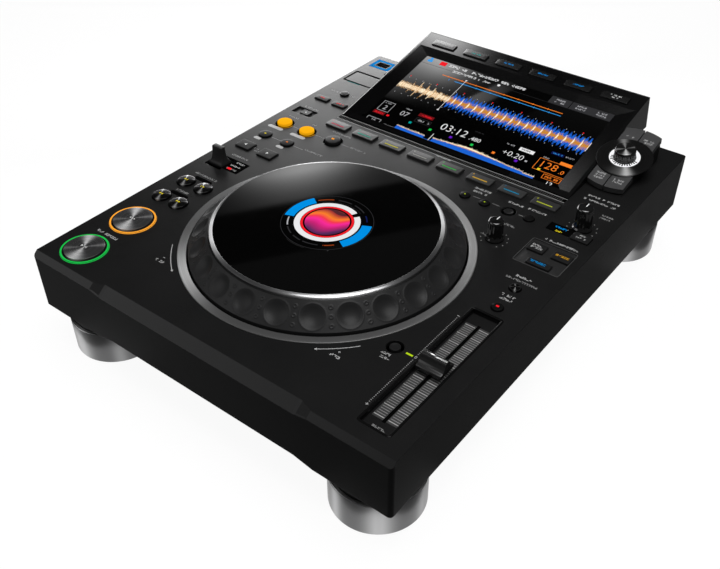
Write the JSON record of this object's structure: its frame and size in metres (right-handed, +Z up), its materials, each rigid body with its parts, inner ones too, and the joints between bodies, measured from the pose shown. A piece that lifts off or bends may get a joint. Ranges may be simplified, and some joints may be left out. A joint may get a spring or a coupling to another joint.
{
  "type": "tabletop dj media player",
  "caption": "Tabletop media player for disc jockeys: low box on four round feet with a large jog wheel, tilted display, tempo fader, keys and knobs.",
  "frame": {"origin": "centre of the outline at the bottoms of the feet", "axes": "+X to the user's right, +Y to the rear, +Z up"},
  "size_m": [0.329, 0.453, 0.118],
  "materials": {
    "body_black": "fine satin",
    "base_metal": "satin black",
    "foot_metal": "brushed round",
    "housing_black": "semi-gloss",
    "screen_dark": "gloss",
    "ring_silver": "satin silver",
    "jog_grip": "satin",
    "jog_gloss": "mirror gloss",
    "socket_black": "matte",
    "board_green": "matte",
    "key_black": "satin",
    "key_amber": "lit, translucent",
    "key_metal": "spun",
    "knob_black": "satin"
  },
  "bodies": {
    "player": {"top_cover": "body_black", "bottom_cover": "base_metal", "foot_sleeves": "foot_metal", "display_housing": "housing_black", "display_screen": "screen_dark", "jog_ring": "ring_silver", "jog_display": "screen_dark", "sockets": "socket_black", "circuit_boards": "board_green"},
    "jog_wheel": {"jog_wheel": "jog_grip", "jog_plate": "jog_gloss"},
    "tempo_fader": {"tempo_fader": "knob_black"},
    "direction_lever": {"direction_lever": "knob_black"},
    "card_door": {"card_door": "body_black"},
    "selector_knob": {"selector_knob": "key_metal"},
    "jog_adjust_knob": {"jog_adjust_knob": "knob_black"},
    "speed_adjust_knob": {"speed_adjust_knob": "knob_black"},
    "play_button": {"play_button": "key_metal"},
    "cue_button": {"cue_button": "key_metal"},
    "back_key": {"back_key": "key_black"},
    "tag_key": {"tag_key": "key_black"},
    "filter_key": {"filter_key": "key_black"},
    "shortcut_key": {"shortcut_key": "key_black"},
    "menu_key_1": {"menu_key_1": "key_black"},
    "menu_key_2": {"menu_key_2": "key_black"},
    "menu_key_3": {"menu_key_3": "key_black"},
    "menu_key_4": {"menu_key_4": "key_black"},
    "menu_key_5": {"menu_key_5": "key_black"},
    "menu_key_6": {"menu_key_6": "key_black"},
    "loop_in": {"loop_in": "key_amber"},
    "loop_out": {"loop_out": "key_amber"},
    "reloop": {"reloop": "key_black"},
    "beat_jump_back": {"beat_jump_back": "key_black"},
    "beat_jump_forward": {"beat_jump_forward": "key_black"},
    "search_back": {"search_back": "key_black"},
    "search_forward": {"search_forward": "key_black"},
    "track_search_back": {"track_search_back": "key_black"},
    "track_search_forward": {"track_search_forward": "key_black"},
    "hot_cue_a": {"hot_cue_a": "key_black"},
    "hot_cue_b": {"hot_cue_b": "key_black"},
    "hot_cue_c": {"hot_cue_c": "key_black"},
    "hot_cue_d": {"hot_cue_d": "key_black"},
    "hot_cue_e": {"hot_cue_e": "key_black"},
    "hot_cue_f": {"hot_cue_f": "key_black"},
    "hot_cue_g": {"hot_cue_g": "key_black"},
    "hot_cue_h": {"hot_cue_h": "key_black"},
    "beat_sync": {"beat_sync": "key_black"},
    "master_button": {"master_button": "key_black"},
    "key_sync": {"key_sync": "key_black"},
    "jog_mode": {"jog_mode": "key_black"},
    "slip_button": {"slip_button": "key_black"},
    "quantize_button": {"quantize_button": "key_black"},
    "beat_loop_4": {"beat_loop_4": "key_black"},
    "beat_loop_8": {"beat_loop_8": "key_black"},
    "call_back": {"call_back": "key_black"},
    "call_forward": {"call_forward": "key_black"},
    "delete_button": {"delete_button": "key_black"},
    "memory_button": {"memory_button": "key_black"},
    "master_tempo": {"master_tempo": "key_black"},
    "tempo_reset": {"tempo_reset": "key_black"}
  },
  "joints": [
    {"name": "jog_wheel_spin", "type": "hinge", "parent": "player", "child": "jog_wheel", "pos_m": [0.001, -0.0849, 0.09], "axis": [0, 0, 1], "continuous": true},
    {"name": "tempo_fader_slide", "type": "slide", "parent": "player", "child": "tempo_fader", "axis": [0, 1, 0], "range_m": [-0.0505, 0.0505]},
    {"name": "direction_lever_tilt", "type": "hinge", "parent": "player", "child": "direction_lever", "pos_m": [-0.1458, -0.0505, 0.074], "axis": [1, 0, 0], "range_deg": [-15, 15]},
    {"name": "card_door_swing", "type": "hinge", "parent": "player", "child": "card_door", "pos_m": [-0.142, 0.1546, 0.0856], "axis": [-1, 0, 0], "range_deg": [0, 90]},
    {"name": "selector_turn", "type": "hinge", "parent": "player", "child": "selector_knob", "pos_m": [0.1321, 0.1393, 0.10062], "axis": [0, -0.2118, 0.9773], "continuous": true},
    {"name": "jog_adjust_turn", "type": "hinge", "parent": "player", "child": "jog_adjust_knob", "pos_m": [0.0965, -0.0048, 0.095], "axis": [0, 0, 1], "range_deg": [-140, 140]},
    {"name": "speed_adjust_turn", "type": "hinge", "parent": "player", "child": "speed_adjust_knob", "pos_m": [0.1427, 0.047, 0.095], "axis": [0, 0, 1], "range_deg": [-140, 140]},
    {"name": "play_button_press", "type": "slide", "parent": "player", "child": "play_button", "axis": [0, 0, -1], "range_m": [0, 0.001], "stiffness_N_per_m": 400},
    {"name": "cue_button_press", "type": "slide", "parent": "player", "child": "cue_button", "axis": [0, 0, -1], "range_m": [0, 0.001], "stiffness_N_per_m": 400},
    {"name": "back_key_press", "type": "slide", "parent": "player", "child": "back_key", "axis": [0, 0.2118, -0.9773], "range_m": [0, 0.001], "stiffness_N_per_m": 400},
    {"name": "tag_key_press", "type": "slide", "parent": "player", "child": "tag_key", "axis": [0, 0.2118, -0.9773], "range_m": [0, 0.001], "stiffness_N_per_m": 400},
    {"name": "filter_key_press", "type": "slide", "parent": "player", "child": "filter_key", "axis": [0, 0.2118, -0.9773], "range_m": [0, 0.001], "stiffness_N_per_m": 400},
    {"name": "shortcut_key_press", "type": "slide", "parent": "player", "child": "shortcut_key", "axis": [0, 0.2118, -0.9773], "range_m": [0, 0.001], "stiffness_N_per_m": 400},
    {"name": "menu_key_1_press", "type": "slide", "parent": "player", "child": "menu_key_1", "axis": [0, 0.2118, -0.9773], "range_m": [0, 0.001], "stiffness_N_per_m": 400},
    {"name": "menu_key_2_press", "type": "slide", "parent": "player", "child": "menu_key_2", "axis": [0, 0.2118, -0.9773], "range_m": [0, 0.001], "stiffness_N_per_m": 400},
    {"name": "menu_key_3_press", "type": "slide", "parent": "player", "child": "menu_key_3", "axis": [0, 0.2118, -0.9773], "range_m": [0, 0.001], "stiffness_N_per_m": 400},
    {"name": "menu_key_4_press", "type": "slide", "parent": "player", "child": "menu_key_4", "axis": [0, 0.2118, -0.9773], "range_m": [0, 0.001], "stiffness_N_per_m": 400},
    {"name": "menu_key_5_press", "type": "slide", "parent": "player", "child": "menu_key_5", "axis": [0, 0.2118, -0.9773], "range_m": [0, 0.001], "stiffness_N_per_m": 400},
    {"name": "menu_key_6_press", "type": "slide", "parent": "player", "child": "menu_key_6", "axis": [0, 0.2118, -0.9773], "range_m": [0, 0.001], "stiffness_N_per_m": 400},
    {"name": "loop_in_press", "type": "slide", "parent": "player", "child": "loop_in", "axis": [0, 0, -1], "range_m": [0, 0.001], "stiffness_N_per_m": 400},
    {"name": "loop_out_press", "type": "slide", "parent": "player", "child": "loop_out", "axis": [0, 0, -1], "range_m": [0, 0.001], "stiffness_N_per_m": 400},
    {"name": "reloop_press", "type": "slide", "parent": "player", "child": "reloop", "axis": [0, 0, -1], "range_m": [0, 0.001], "stiffness_N_per_m": 400},
    {"name": "beat_jump_back_press", "type": "slide", "parent": "player", "child": "beat_jump_back", "axis": [0, 0, -1], "range_m": [0, 0.001], "stiffness_N_per_m": 400},
    {"name": "beat_jump_forward_press", "type": "slide", "parent": "player", "child": "beat_jump_forward", "axis": [0, 0, -1], "range_m": [0, 0.001], "stiffness_N_per_m": 400},
    {"name": "search_back_press", "type": "slide", "parent": "player", "child": "search_back", "axis": [0, 0, -1], "range_m": [0, 0.001], "stiffness_N_per_m": 400},
    {"name": "search_forward_press", "type": "slide", "parent": "player", "child": "search_forward", "axis": [0, 0, -1], "range_m": [0, 0.001], "stiffness_N_per_m": 400},
    {"name": "track_search_back_press", "type": "slide", "parent": "player", "child": "track_search_back", "axis": [0, 0, -1], "range_m": [0, 0.001], "stiffness_N_per_m": 400},
    {"name": "track_search_forward_press", "type": "slide", "parent": "player", "child": "track_search_forward", "axis": [0, 0, -1], "range_m": [0, 0.001], "stiffness_N_per_m": 400},
    {"name": "hot_cue_a_press", "type": "slide", "parent": "player", "child": "hot_cue_a", "axis": [0, 0, -1], "range_m": [0, 0.001], "stiffness_N_per_m": 400},
    {"name": "hot_cue_b_press", "type": "slide", "parent": "player", "child": "hot_cue_b", "axis": [0, 0, -1], "range_m": [0, 0.001], "stiffness_N_per_m": 400},
    {"name": "hot_cue_c_press", "type": "slide", "parent": "player", "child": "hot_cue_c", "axis": [0, 0, -1], "range_m": [0, 0.001], "stiffness_N_per_m": 400},
    {"name": "hot_cue_d_press", "type": "slide", "parent": "player", "child": "hot_cue_d", "axis": [0, 0, -1], "range_m": [0, 0.001], "stiffness_N_per_m": 400},
    {"name": "hot_cue_e_press", "type": "slide", "parent": "player", "child": "hot_cue_e", "axis": [0, 0, -1], "range_m": [0, 0.001], "stiffness_N_per_m": 400},
    {"name": "hot_cue_f_press", "type": "slide", "parent": "player", "child": "hot_cue_f", "axis": [0, 0, -1], "range_m": [0, 0.001], "stiffness_N_per_m": 400},
    {"name": "hot_cue_g_press", "type": "slide", "parent": "player", "child": "hot_cue_g", "axis": [0, 0, -1], "range_m": [0, 0.001], "stiffness_N_per_m": 400},
    {"name": "hot_cue_h_press", "type": "slide", "parent": "player", "child": "hot_cue_h", "axis": [0, 0, -1], "range_m": [0, 0.001], "stiffness_N_per_m": 400},
    {"name": "beat_sync_press", "type": "slide", "parent": "player", "child": "beat_sync", "axis": [0, 0, -1], "range_m": [0, 0.001], "stiffness_N_per_m": 400},
    {"name": "master_button_press", "type": "slide", "parent": "player", "child": "master_button", "axis": [0, 0, -1], "range_m": [0, 0.001], "stiffness_N_per_m": 400},
    {"name": "key_sync_press", "type": "slide", "parent": "player", "child": "key_sync", "axis": [0, 0, -1], "range_m": [0, 0.001], "stiffness_N_per_m": 400},
    {"name": "jog_mode_press", "type": "slide", "parent": "player", "child": "jog_mode", "axis": [0, 0, -1], "range_m": [0, 0.001], "stiffness_N_per_m": 400},
    {"name": "slip_button_press", "type": "slide", "parent": "player", "child": "slip_button", "axis": [0, 0, -1], "range_m": [0, 0.001], "stiffness_N_per_m": 400},
    {"name": "quantize_button_press", "type": "slide", "parent": "player", "child": "quantize_button", "axis": [0, 0, -1], "range_m": [0, 0.001], "stiffness_N_per_m": 400},
    {"name": "beat_loop_4_press", "type": "slide", "parent": "player", "child": "beat_loop_4", "axis": [0, 0, -1], "range_m": [0, 0.001], "stiffness_N_per_m": 400},
    {"name": "beat_loop_8_press", "type": "slide", "parent": "player", "child": "beat_loop_8", "axis": [0, 0, -1], "range_m": [0, 0.001], "stiffness_N_per_m": 400},
    {"name": "call_back_press", "type": "slide", "parent": "player", "child": "call_back", "axis": [0, 0, -1], "range_m": [0, 0.001], "stiffness_N_per_m": 400},
    {"name": "call_forward_press", "type": "slide", "parent": "player", "child": "call_forward", "axis": [0, 0, -1], "range_m": [0, 0.001], "stiffness_N_per_m": 400},
    {"name": "delete_button_press", "type": "slide", "parent": "player", "child": "delete_button", "axis": [0, 0, -1], "range_m": [0, 0.001], "stiffness_N_per_m": 400},
    {"name": "memory_button_press", "type": "slide", "parent": "player", "child": "memory_button", "axis": [0, 0, -1], "range_m": [0, 0.001], "stiffness_N_per_m": 400},
    {"name": "master_tempo_press", "type": "slide", "parent": "player", "child": "master_tempo", "axis": [0, 0, -1], "range_m": [0, 0.001], "stiffness_N_per_m": 400},
    {"name": "tempo_reset_press", "type": "slide", "parent": "player", "child": "tempo_reset", "axis": [0, 0, -1], "range_m": [0, 0.001], "stiffness_N_per_m": 400}
  ]
}
